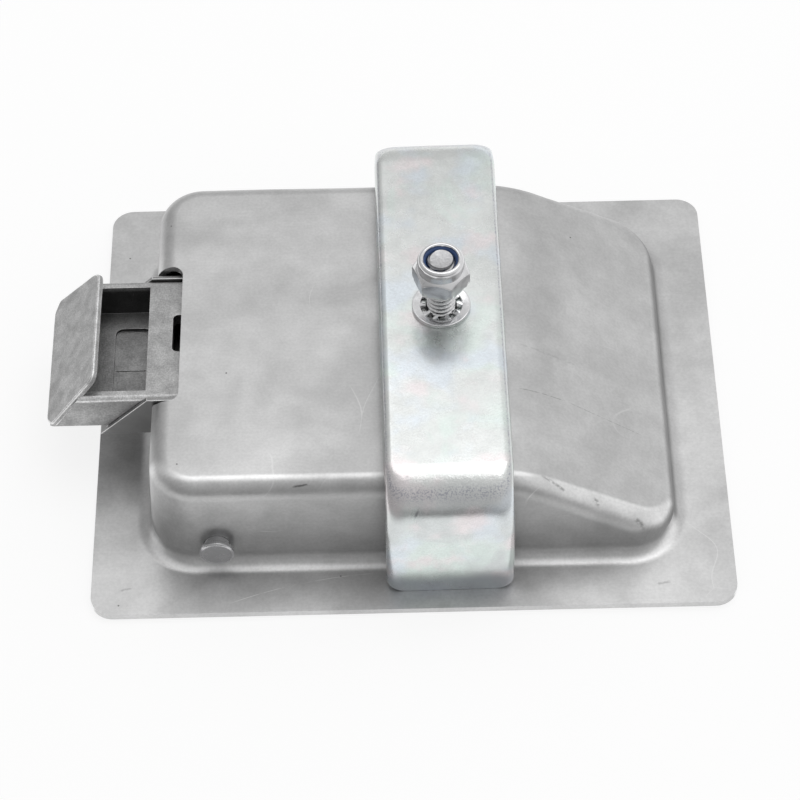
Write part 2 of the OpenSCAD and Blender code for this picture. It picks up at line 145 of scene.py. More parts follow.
# -------- mesh helpers
def merged(verts, faces):
    """bmesh of the points and faces, with doubled points joined and normals facing out."""
    bm = bmesh.new()
    made = [bm.verts.new(v) for v in verts]
    for face in faces:
        if len(set(face)) > 2:
            bm.faces.new([made[i] for i in face])
    bmesh.ops.remove_doubles(bm, verts=bm.verts, dist=1e-4)
    bmesh.ops.recalc_face_normals(bm, faces=bm.faces)
    return bm


def linked(name, data):
    """A new object in the scene."""
    obj = bpy.data.objects.new(name, data)
    SCENE.collection.objects.link(obj)
    return obj


def mesh_object(name, bm):
    mesh = bpy.data.meshes.new(name)
    bm.to_mesh(mesh)
    bm.free()
    return linked(name, mesh)


def applied(obj):
    """Bakes the object's modifiers into its mesh."""
    evaluated = obj.evaluated_get(bpy.context.evaluated_depsgraph_get())
    baked = bpy.data.meshes.new_from_object(evaluated)
    obj.modifiers.clear()
    obj.data = baked
    return obj


def carve(obj, *cutters):
    """Cuts the cutters' solids out of the object."""
    for cutter in cutters:
        cut = obj.modifiers.new("cut", "BOOLEAN")
        cut.operation = "DIFFERENCE"
        cut.solver = "EXACT"
        cut.object = cutter
        applied(obj)
        bpy.data.objects.remove(cutter)
    return obj


def bevelled(obj, width, angle=30, segments=2):
    """Rounds the object's sharp edges, and gives the rounded strips the second material."""
    obj.data.materials.append(None)
    obj.data.materials.append(None)
    bev = obj.modifiers.new("edges", "BEVEL")
    bev.width = width
    bev.segments = segments
    bev.limit_method = "ANGLE"
    bev.angle_limit = radians(angle)
    bev.material = 1
    return applied(obj)


def finish_piece(obj, material, body, slot, *stands_for, sharp=40, edge_wear_and_sheen=None):
    """Scales a piece from millimetres to metres, shades it, and hangs it on its body."""
    obj.data.transform(Matrix.Scale(MM, 4))
    edges = len(obj.data.materials) == 2
    strips = [edges and f.material_index == 1 for f in obj.data.polygons]
    obj.data.materials.clear()
    obj.data.materials.append(material)
    if edge_wear_and_sheen:
        obj.data.materials.append(edge_wear_and_sheen)
    obj.data.polygons.foreach_set("material_index", [1 if edge_wear_and_sheen and strip else 0 for strip in strips])
    obj.data.shade_smooth()
    obj.data.set_sharp_from_angle(angle=radians(sharp))
    weighted = obj.modifiers.new("normals", "WEIGHTED_NORMAL")
    weighted.keep_sharp = True
    if body:
        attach(obj, body)
    if stands_for:
        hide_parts(*stands_for)
    return obj


def skin(rings, capped=False):
    """Points and faces of the surface over a stack of rings with the same count of points."""
    rows, cols = len(rings), len(rings[0])
    verts = [tuple(p) for ring in rings for p in ring]
    faces = []
    for i in range(rows - 1):
        for j in range(cols):
            a, b = i * cols + j, i * cols + (j + 1) % cols
            faces.append((a, b, b + cols, a + cols))
    if capped:
        faces.append(tuple(range(cols)))
        faces.append(tuple((rows - 1) * cols + j for j in range(cols)))
    return verts, faces


def lathe(profile, steps=64, axis="z", centre=(0, 0, 0)):
    """Solid of revolution: profile holds (radius, height) along the axis."""
    rings = []
    for r, h in profile:
        ring = []
        for k in range(steps):
            a = tau * k / steps
            c, s = r * cos(a), r * sin(a)
            point = {"z": (c, s, h), "y": (c, h, s), "x": (h, c, s)}[axis]
            ring.append([point[i] + centre[i] for i in range(3)])
        rings.append(ring)
    return skin(rings)


def circle(radius, z, sides):
    """Points of a level circle round Z."""
    angles = [tau * k / sides for k in range(sides)]
    return [(radius * cos(a), radius * sin(a), z) for a in angles]


def round_profile(points, radius, steps=4):
    """The open profile with every inner corner rounded by an arc of about the radius."""
    out = [points[0]]
    for before, at, after in zip(points, points[1:], points[2:]):
        p, q, r = (Vector(v) for v in (before, at, after))
        u, v = (p - q), (r - q)
        cut = min(radius, u.length * 0.45, v.length * 0.45)
        a, b = q + u.normalized() * cut, q + v.normalized() * cut
        for k in range(steps + 1):
            t = k / steps
            out.append(tuple((1 - t) ** 2 * a + 2 * t * (1 - t) * q + t * t * b))
    out.append(points[-1])
    return out


def prism(points, axis, low, high):
    """Closed solid: an outline of (y, z), (x, z) or (x, y) points pushed along x, y or z."""
    orders = {
        "x": lambda a, b, h: (h, a, b),
        "y": lambda a, b, h: (a, h, b),
        "z": lambda a, b, h: (a, b, h),
    }
    order = orders[axis]
    rings = [[order(a, b, h) for a, b in points] for h in (low, high)]
    return mesh_object("prism", merged(*skin(rings, capped=True)))


def rectangle(x, y):
    """Corners of the rectangle between two values of x and two of y."""
    return [(x[0], y[0]), (x[1], y[0]), (x[1], y[1]), (x[0], y[1])]


def block(low, high):
    x, y, z = zip(low, high)
    return prism(rectangle(x, y), "z", *z)


def rounded(points, radius, steps=5):
    """The closed outline with every corner rounded by about the radius."""
    ring = [points[-1], *points, points[0]]
    return round_profile([tuple(v) for v in ring], radius, steps)[1:-1]


def joined(name, *parts):
    """One object made of several closed solids."""
    bm = bmesh.new()
    for part in parts:
        bm.from_mesh(part.data)
        bpy.data.objects.remove(part)
    return mesh_object(name, bm)


def tube(path, radius, winding, sides=12):
    """Round wire swept along a path that winds about the given axis."""
    path = np.array(path, float)
    winding = np.array(winding, float)
    rings = []
    for i in range(len(path)):
        t = path[min(i + 1, len(path) - 1)] - path[max(i - 1, 0)]
        u = np.cross(t, winding)
        u /= np.linalg.norm(u)
        v = np.cross(u, t)
        v /= np.linalg.norm(v)
        turn = np.arange(sides) * tau / sides
        rings.append(path[i] + radius * (np.cos(turn)[:, None] * u + np.sin(turn)[:, None] * v))
    return skin(rings, capped=True)


# -------- materials
class Nodes:
    """Short ways to add shader nodes to a tree. An input is a socket or a plain value."""

    def __init__(self, tree):
        self.tree = tree

    def link(self, socket, value):
        if hasattr(value, "is_linked"):
            self.tree.links.new(value, socket)
        else:
            socket.default_value = value

    def add(self, kind, inputs, operation=None):
        """A new node with its inputs filled in."""
        node = self.tree.nodes.new("ShaderNode" + kind)
        if operation:
            node.operation = operation
        for key, value in inputs.items():
            self.link(node.inputs[key], value)
        return node

    def vector(self, operation, a, b=(0, 0, 0), output=0):
        return self.add("VectorMath", {0: a, 1: b}, operation).outputs[output]

    def maths(self, operation, a, b=0.0):
        return self.add("Math", {0: a, 1: b}, operation).outputs[0]

    def times(self, value, *others):
        """Product of all the values."""
        for other in others:
            value = self.maths("MULTIPLY", value, other)
        return value

    def ramp(self, value, low, high, to_low=0.0, to_high=1.0, kind="SMOOTHSTEP"):
        node = self.add("MapRange", {"Value": value})
        node.interpolation_type = kind
        for name, number in zip(("From Min", "From Max", "To Min", "To Max"), (low, high, to_low, to_high)):
            node.inputs[name].default_value = number
        return node.outputs["Result"]

    def grey(self, value):
        return self.add("CombineColor", {0: value, 1: value, 2: value}).outputs[0]


class Shader(Nodes):
    """A principled material in the making. Texture coordinates are in millimetres."""

    def __init__(self, name, colour, metallic, roughness):
        self.material = bpy.data.materials.new(name)
        self.material.use_nodes = True
        super().__init__(self.material.node_tree)
        self.bsdf = self.tree.nodes["Principled BSDF"]
        self.bsdf.inputs["Metallic"].default_value = metallic
        where = self.add("TexCoord", {}).outputs["Object"]
        self.mm = self.vector("MULTIPLY", where, (1 / MM,) * 3)
        self.colour = self.rgb(colour)
        self.roughness = roughness
        self.height = None

    def rgb(self, colour):
        node = self.add("RGB", {})
        node.outputs[0].default_value = (*colour, 1)
        return node.outputs[0]

    def blend(self, amount, a, b, mode="MIX"):
        node = self.add("Mix", {})
        node.data_type = "RGBA"
        node.blend_type = mode
        self.link(node.inputs["Factor"], amount)
        self.link(node.inputs["A"], a)
        self.link(node.inputs["B"], b)
        return node.outputs["Result"]

    def scaled(self, scale, stretch=(1, 1, 1), offset=(0, 0, 0)):
        """Coordinates in cycles: so many per millimetre, divided by the stretch along each axis."""
        where = self.vector("MULTIPLY", self.mm, tuple(scale / s for s in stretch))
        return self.vector("ADD", where, offset)

    def noise(self, scale, detail=3.0, stretch=(1, 1, 1), distortion=0.0, offset=(0, 0, 0)):
        """Noise in 0..1."""
        where = self.scaled(scale, stretch, offset)
        inputs = {"Vector": where, "Scale": 1.0, "Detail": detail, "Distortion": distortion}
        return self.add("TexNoise", inputs).outputs["Fac"]

    def lines(self, scale, thin, share, offset=(0, 0, 0)):
        """Mask of thin wandering lines, broken up so that only a share of them shows."""
        where = self.scaled(scale, offset=offset)
        wander = self.add("TexNoise", {"Vector": where, "Scale": 1.3, "Detail": 1.0}).outputs["Color"]
        where = self.vector("ADD", where, self.vector("MULTIPLY", wander, (0.9, 0.9, 0.9)))
        cells = self.add("TexVoronoi", {"Vector": where, "Scale": 1.0})
        cells.feature = "DISTANCE_TO_EDGE"
        line = self.ramp(cells.outputs["Distance"], thin, 0.0)
        broken = self.ramp(self.noise(scale * 1.7, 2.0, offset=(7, 3, 5)), 1 - share, 1 - share + 0.06)
        return self.times(line, broken)

    def specks(self, scale, size, share, offset=(0, 0, 0)):
        """Mask of small round specks in a share of the cells."""
        cells = self.add("TexVoronoi", {"Vector": self.scaled(scale, offset=offset), "Scale": 1.0})
        dot = self.ramp(cells.outputs["Distance"], size, size * 0.5)
        return self.times(dot, self.maths("LESS_THAN", cells.outputs["Color"], share))

    def parts(self, vector):
        return self.add("SeparateXYZ", {0: vector}).outputs

    def place(self, axis):
        """The X, Y or Z coordinate in millimetres."""
        return self.parts(self.mm)[axis]

    def facing(self, way=(0, 0, 1)):
        """How squarely the surface faces a direction of the piece: 1 square on, 0 edge on."""
        normal = self.add("TexCoord", {}).outputs["Normal"]
        return self.vector("DOT_PRODUCT", normal, way, "Value")

    def shoulder(self, low, middle, high):
        """Mask of surfaces that lean: 1 where the upward part of the normal is in the middle of the band."""
        lean = self.facing()
        return self.times(self.ramp(lean, low, middle), self.ramp(lean, high, middle))

    def within(self, low, high, soft):
        """Mask of a box, in millimetres, with soft sides."""
        mask = 1.0
        for axis, a, b in zip("XYZ", low, high):
            here = self.place(axis)
            mask = self.times(mask, self.ramp(here, a - soft, a + soft), self.ramp(here, b + soft, b - soft))
        return mask

    def upright(self):
        """Mask of surfaces that stand up: 1 on a wall, 0 on a floor."""
        return self.ramp(self.maths("ABSOLUTE", self.facing()), 0.75, 0.35)

    def stroke(self, start, end, width):
        """Mask of a straight mark from start to end on the plan, in millimetres."""
        length = dist(start, end)
        along = ((end[0] - start[0]) / length, (end[1] - start[1]) / length)
        here = self.vector("SUBTRACT", self.mm, (*start, 0))
        x, y, _ = self.parts(here)
        u = self.maths("ADD", self.times(x, along[0]), self.times(y, along[1]))
        v = self.maths("SUBTRACT", self.times(y, along[0]), self.times(x, along[1]))
        inside = self.times(self.ramp(u, 0.0, 1.0), self.ramp(u, length, length - 1.0))
        return self.times(inside, self.ramp(self.maths("ABSOLUTE", v), width, 0.0))

    def ring(self, centre, radius, width, first, last):
        """Mask of a fine arc on the plan, between two values of X, broken here and there."""
        here = self.vector("MULTIPLY", self.vector("SUBTRACT", self.mm, (*centre, 0)), (1, 1, 0))
        away = self.vector("LENGTH", here, output="Value")
        off = self.maths("ABSOLUTE", self.maths("SUBTRACT", away, radius))
        x = self.place("X")
        inside = self.times(self.ramp(x, first, first + 3), self.ramp(x, last, last - 3))
        broken = self.ramp(self.noise(0.25, 2.0), 0.4, 0.55)
        return self.times(self.ramp(off, width, 0.0), inside, broken)

    def tint(self, amount, colour, strength=1.0):
        """Mixes in a colour, or a grey given as one number."""
        colour = (colour,) * 3 if isinstance(colour, float) else colour
        self.colour = self.blend(self.times(amount, strength), self.colour, (*colour, 1))

    def shade(self, value, low, high):
        """Multiplies the colour by a grey between low and high as the value goes from 0 to 1."""
        grey = self.ramp(value, 0.25, 0.75, low, high)
        self.colour = self.blend(1.0, self.colour, self.grey(grey), "MULTIPLY")

    def rough(self, value, low, high):
        """Adds to the roughness, from low to high as the value goes from 0 to 1."""
        self.roughness = self.maths("ADD", self.roughness, self.ramp(value, 0.25, 0.75, low, high))

    def raise_by(self, value, depth):
        """Adds relief; depth is in millimetres."""
        part = self.times(value, depth * MM)
        self.height = part if self.height is None else self.maths("ADD", self.height, part)

    def done(self, **sockets):
        self.link(self.bsdf.inputs["Base Color"], self.colour)
        self.link(self.bsdf.inputs["Roughness"], self.roughness)
        if self.height is not None:
            bump = self.add("Bump", {"Strength": 1.0, "Distance": 1.0, "Height": self.height})
            self.link(self.bsdf.inputs["Normal"], bump.outputs[0])
        for name, value in sockets.items():
            self.bsdf.inputs[name.replace("_", " ")].default_value = value
        return self.material


def paint_bend_highlights_and_wall_shade(s):
    """Paints highlights on the near bend, the slope's near edge and the foot fillet, and paints shade on the
    near wall between them and on faces turned towards the slope's end.
    """
    near = s.facing((0, -1, 0))
    height = s.place("Z")
    patchy = s.ramp(s.noise(0.12, 3.0), 0.3, 0.55, 0.6, 1.0)
    # painted highlight along the near bend, patchy, with a broader one on the slope's near edge
    crest = s.times(s.ramp(near, 0.02, 0.20), s.ramp(near, 0.50, 0.24))
    broad = s.times(s.ramp(near, 0.10, 0.35), s.ramp(near, 0.92, 0.60))
    broad = s.times(broad, s.ramp(s.place("X"), SLOPE_X - 5, SLOPE_X + 5))
    crest = s.times(s.maths("MAXIMUM", crest, broad), s.ramp(height, 6.0, 8.5))
    # painted highlight on the foot fillet
    heel = s.times(s.ramp(near, 0.10, 0.34), s.ramp(near, 0.70, 0.42))
    heel = s.times(heel, s.ramp(height, 5.0, 4.2))
    # painted shade on the near wall above the foot
    wall = s.times(s.ramp(near, 0.45, 0.80), s.ramp(height, 2.6, 4.4))
    s.tint(wall, 0.30, 0.42)
    # painted shade on faces turned towards +X, along the slope's end
    s.tint(s.ramp(s.facing((1, 0, 0)), 0.65, 0.95), 0.22, 0.6)
    s.tint(s.times(crest, patchy), 0.97, 0.75)
    s.tint(heel, 1.0, 0.9)


def stainless(name="stainless_sheet", handling_marks_and_painted_light=True):
    """Mill-finish sheet with smudges, faint rolling grain, scratches and specks; where asked, handling
    marks, painted highlights on the near bends and fillet, and painted shade on the walls.
    """
    s = Shader(name, (0.60, 0.60, 0.60), 1.0, 0.42)
    # painted highlights and painted shade on the bends and walls, with the handling marks below
    if handling_marks_and_painted_light:
        paint_bend_highlights_and_wall_shade(s)
    smudge = s.noise(0.045, 5.0, distortion=0.6)
    fine = s.noise(0.22, 5.0)
    grain = s.noise(2.2, 3.0, stretch=(14, 1, 1))
    s.shade(smudge, 0.88, 1.08)
    s.shade(fine, 0.94, 1.05)
    s.shade(s.noise(1.6, 3.0), 0.95, 1.05)
    s.rough(smudge, 0.07, -0.05)
    s.rough(fine, -0.03, 0.04)
    s.shade(grain, 0.985, 1.015)
    s.raise_by(grain, 0.0012)
    s.raise_by(s.noise(0.6, 2.0), 0.004)
    s.raise_by(s.noise(0.06, 1.0), 0.12)
    for k, (scale, share) in enumerate(((0.021, 0.42), (0.05, 0.36), (0.11, 0.3))):
        scratch = s.lines(scale, 0.0035, share, offset=(11 * k + 2, 4 * k, 9))
        s.tint(scratch, 0.8, 0.4)
    for k, (scale, size, share) in enumerate(((0.16, 0.045, 0.3), (0.45, 0.07, 0.05))):
        dark = s.specks(scale, size, share, offset=(5 * k, 2, 3 * k))
        s.tint(dark, 0.06, 0.8)
    for start, end, width, strength in SCUFFS if handling_marks_and_painted_light else ():
        mark = s.times(s.stroke(start, end, width), s.ramp(s.noise(1.2, 3.0), 0.35, 0.6))
        s.tint(mark, 0.08, strength)
    for centre, radius, first, last in ARCS if handling_marks_and_painted_light else ():
        arc = s.ring(centre, radius, 0.11, first, last)
        s.tint(arc, 0.95, 0.75)
    return s.done()


# Handling marks on the tray in millimetres: scuffs as (from, to, width, strength), and fine
# scratches as parts of a circle, (centre, radius, first X, last X)
SCUFFS = (
    ((-25.6, -43.1), (-21.0, -42.6), 0.3, 0.8),
    ((27.5, -40.5), (33.0, -42.6), 0.5, 0.55),
    ((38.5, -42.2), (40.5, -43.2), 0.8, 0.7),
    ((47.5, -43.5), (50.5, -44.3), 0.6, 0.6),
    ((-64.0, -52.5), (-60.5, -51.5), 0.5, 0.35),
    ((52.0, -53.8), (56.0, -53.0), 0.5, 0.35),
    ((23.7, -17.7), (34.8, -17.8), 0.16, 0.55),
    ((34.2, -17.8), (51.0, -20.8), 0.13, 0.45),
    ((24.0, -5.0), (37.0, -6.5), 0.5, 0.16),
)
ARCS = (((-2.0, -150.0), 101.0, -40.0, -8.0),)


def zinc():
    """Bright zinc plate: pale clouds of green, blue and rose, draw lines, bends with a coarse grain, and
    painted shade on the near faces, on a band round each bend and towards the feet.
    """
    s = Shader("zinc_plate", (0.765, 0.785, 0.775), 1.0, 0.25)
    height = s.place("Z")
    # painted shade on the faces turned to the near side, the legs
    s.tint(s.ramp(s.facing((0, -1, 0)), 0.6, 0.9), (0.60, 0.64, 0.65), 0.5)
    s.tint(s.ramp(s.noise(0.07, 3.0, distortion=0.8), 0.46, 0.66, 0.0, 0.8), (0.75, 0.84, 0.80))
    s.tint(s.ramp(s.noise(0.09, 3.0, offset=(20, 5, 3)), 0.48, 0.68, 0.0, 0.8), (0.76, 0.82, 0.88))
    s.tint(s.ramp(s.noise(0.11, 3.0, offset=(3, 25, 8)), 0.5, 0.7, 0.0, 0.75), (0.87, 0.80, 0.81))
    s.shade(s.noise(0.3, 5.0), 0.95, 1.04)
    s.rough(s.noise(0.08, 4.0), -0.04, 0.06)
    grain = s.noise(2.6, 3.0)
    s.shade(grain, 0.955, 1.04)
    bend = s.shoulder(0.30, 0.9, 1.0)
    bend = s.times(bend, s.ramp(height, 18.0, 21.0))
    # painted shade on a band of each bend, where it turns from the light
    s.tint(s.shoulder(0.46, 0.76, 0.90), (0.56, 0.56, 0.58), 0.4)
    # dark grains of the plate's coarse grain, darkened further as painted shade in the same band of the bend
    speckled = s.times(s.shoulder(0.64, 0.80, 0.92), s.ramp(s.noise(3.0, 2.0), 0.47, 0.60))
    s.tint(speckled, (0.34, 0.35, 0.42), 0.6)
    s.raise_by(s.noise(1.7, 3.0, offset=(4, 4, 4)), 0.006)
    s.raise_by(s.times(s.noise(1.5, 3.0), bend), 0.05)
    draw = s.noise(2.6, 2.0, stretch=(1, 1, 30))
    s.raise_by(s.times(draw, s.ramp(height, 22.0, 18.0)), 0.004)
    # painted shade: darker blue-grey towards the feet of the legs, by the flange
    foot = s.ramp(s.maths("ADD", height, s.times(s.noise(0.12, 3.0), 5.0)), 10.5, 7.0)
    s.tint(foot, (0.42, 0.46, 0.51), 0.6)
    for k, (scale, size, share) in enumerate(((0.3, 0.06, 0.2), (0.75, 0.09, 0.06))):
        dark = s.specks(scale, size, share, offset=(3 * k, 8, 1))
        s.tint(dark, (0.12, 0.12, 0.13), 0.75)
    scratch = s.lines(0.05, 0.004, 0.34, offset=(5, 1, 2))
    s.tint(scratch, (0.42, 0.43, 0.44), 0.5)
    cuts = (
        ((0.2, -53.2), (1.6, -51.9), 0.35),
        ((-1.5, -46.4), (-0.2, -46.3), 0.4),
        ((8.0, 25.5), (8.8, 25.4), 0.5),
    )
    for start, end, width in cuts:
        s.tint(s.stroke(start, end, width), (0.2, 0.2, 0.22), 0.7)
    return s.done()


def polished(name, colour, roughness):
    """Bright hardware: near mirror, with small handling marks and patches of painted shade on the faces that
    stand up.
    """
    s = Shader(name, colour, 1.0, roughness)
    marks = s.noise(0.5, 4.0)
    s.rough(marks, -0.04, 0.08)
    s.shade(marks, 0.95, 1.03)
    s.raise_by(s.noise(1.2, 2.0), 0.006)
    scratch = s.lines(0.35, 0.012, 0.42)
    s.tint(scratch, (0.3, 0.3, 0.31), 0.4)
    # painted shade: dark patches on the faces that stand up, such as the nut's flats
    upright_shade_patches = s.times(s.upright(), s.ramp(s.noise(0.2, 3.0, distortion=0.5), 0.40, 0.68, 0.1, 0.75))
    s.tint(upright_shade_patches, (0.26, 0.26, 0.27))
    return s.done()


def threaded():
    """The stud: bright crests, painted shade in the roots and on the chamfered rim, and a sawn end that is
    dull and grainy.
    """
    s = Shader("bright_steel_thread", (0.80, 0.80, 0.81), 1.0, 0.14)
    across = s.vector("MULTIPLY", s.vector("SUBTRACT", s.mm, (STUD_X, 0, 0)), (1, 1, 0))
    away = s.vector("LENGTH", across, output="Value")
    height = s.place("Z")
    end = s.ramp(height, STUD_HI[2] - 0.25, STUD_HI[2] - 0.1)
    # painted shade in the thread's roots
    root = s.ramp(away, STUD_R - 0.2, STUD_R - 0.65)
    root = s.times(root, s.maths("SUBTRACT", 1.0, end))
    s.tint(root, 0.05, 0.86)
    s.tint(end, (0.42, 0.42, 0.43), 0.55)
    # painted shade on the chamfered rim below the end
    rim = s.ramp(height, STUD_HI[2] - 1.1, STUD_HI[2] - 0.8)
    rim = s.times(s.shoulder(0.25, 0.65, 0.97), rim)
    s.tint(rim, (0.16, 0.16, 0.17), 0.75)
    s.roughness = s.maths("ADD", s.roughness, s.times(end, 0.24))
    s.shade(s.noise(2.4, 3.0), 0.82, 1.12)
    s.raise_by(s.times(s.noise(3.0, 2.0), end), 0.03)
    return s.done()


def cast(name="cast_steel", colour=(0.45, 0.45, 0.45), roughness=0.44):
    """Cast steel: granular, softly mottled, with a scatter of dark pits and rubbed marks."""
    s = Shader(name, colour, 1.0, roughness)
    grit = s.noise(2.8, 3.0)
    s.shade(s.noise(0.3, 5.0), 0.82, 1.12)
    s.shade(grit, 0.78, 1.16)
    s.rough(s.noise(0.35, 5.0), -0.05, 0.09)
    s.raise_by(grit, 0.035)
    s.raise_by(s.noise(1.1, 2.0), 0.03)
    pits = s.specks(0.9, 0.14, 0.12)
    s.tint(pits, 0.08, 0.55)
    x, _, z = s.parts(s.mm)
    behind = s.maths("SUBTRACT", x, s.times(z, 1 / tan(RAMP_LEAN)))
    inside = s.within((-82.0, -15.2, 10.0), (NOSE_X + 0.2, 15.2, BOLT_TOP - 0.9), 0.5)
    in_plate, floor_z = (-91.6, -90.9), (14.8, 15.1)
    inside = s.times(inside, s.ramp(behind, *in_plate), s.ramp(z, *floor_z))
    shadow = s.maths("ADD", 0.36, s.times(s.upright(), 0.49))
    s.tint(inside, 0.03, shadow)
    scratch = s.lines(0.22, 0.01, 0.4)
    s.tint(scratch, 0.75, 0.45)
    return s.done()


def worked(name, colour, roughness, grit=0.006):
    """Plain worked steel for pressed brackets, pins and wire."""
    s = Shader(name, colour, 1.0, roughness)
    mottle = s.noise(0.25, 5.0)
    s.shade(mottle, 0.9, 1.07)
    s.rough(mottle, 0.06, -0.05)
    s.raise_by(s.noise(3.0, 2.0), grit)
    scratch = s.lines(0.12, 0.006, 0.35)
    s.tint(scratch, 0.75, 0.35)
    return s.done()


def moulded(name, colour, roughness, grit):
    """Nylon or rubber, with a fine moulded skin."""
    s = Shader(name, colour, 0.0, roughness)
    s.shade(s.noise(0.6, 4.0), 0.86, 1.12)
    s.rough(s.noise(1.5, 3.0), -0.06, 0.1)
    s.raise_by(s.noise(5.0, 2.0), grit)
    return s.done(Specular_IOR_Level=0.4)


SHEET_STEEL = stainless()
PADDLE_STEEL = stainless("stainless_sheet_paddle", handling_marks_and_painted_light=False)
ZINC = zinc()
BRIGHT = polished("bright_steel", (0.82, 0.82, 0.83), 0.10)
THREAD = threaded()
CAST = cast()
CAST_WORN = cast("cast_steel_worn", (0.80, 0.80, 0.80), 0.32)
PIN_STEEL = worked("pin_steel", (0.55, 0.55, 0.56), 0.28, 0.003)
PRESSED = worked("pressed_steel", (0.50, 0.50, 0.50), 0.38)
# lighter cut edges, with a painted highlight along the guide's rounded edges
PRESSED_CUT_HIGHLIGHT = worked("pressed_steel_cut_highlight", (0.80, 0.80, 0.80), 0.3)
# pressed steel darkened as painted shade, for the bolt guide
SHADED_GUIDE_STEEL = worked("pressed_steel_guide_shaded", (0.30, 0.30, 0.30), 0.42, 0.02)
SPRING_STEEL = worked("spring_steel", (0.55, 0.55, 0.57), 0.25, 0.002)
RIVET_STEEL = worked("rivet_steel", (0.62, 0.62, 0.63), 0.3, 0.003)
BLUE_NYLON = moulded("blue_nylon", (0.035, 0.075, 0.20), 0.35, 0.004)
WHITE_NYLON = moulded("white_nylon", (0.80, 0.79, 0.74), 0.45, 0.004)
RUBBER = moulded("black_rubber", (0.03, 0.03, 0.03), 0.7, 0.012)


# -------- tray
def roof(x):
    """Height and slope of the tray's back at x, with a rolled crease where the finger slope starts."""
    reach = CREASE_R * tan(SLOPE_A / 2)
    start, end = SLOPE_X - reach, SLOPE_X + reach * cos(SLOPE_A)
    if x <= start:
        return BACK_Z, 0.0
    if x >= end:
        return BACK_Z - (x - SLOPE_X) * tan(SLOPE_A), -tan(SLOPE_A)
    run = x - start
    side = sqrt(CREASE_R**2 - run**2)
    return BACK_Z - (CREASE_R - side), -run / side


def plan_loop(lo, hi, radius, long_steps, short_steps):
    """Points and outward normals round a rectangle with round corners; the steps are shares of each side."""
    arc = 16
    points, normals = [], []
    inner = rectangle((hi[0] - radius, lo[0] + radius), (hi[1] - radius, lo[1] + radius))
    centres = [np.array(corner) for corner in inner]
    for k, centre in enumerate(centres):
        for i in range(arc + 1):
            a = pi / 2 * (k + i / arc)
            n = np.array([cos(a), sin(a)])
            points.append(centre + radius * n)
            normals.append(n)
        first, last = points[-1], centres[(k + 1) % 4] + radius * n
        steps = (long_steps, short_steps)[k % 2]
        shares = [1 - s for s in reversed(steps)] if k == 0 else steps
        for s in shares:
            points.append(first + (last - first) * s)
            normals.append(n)
    return np.array(points), np.array(normals)


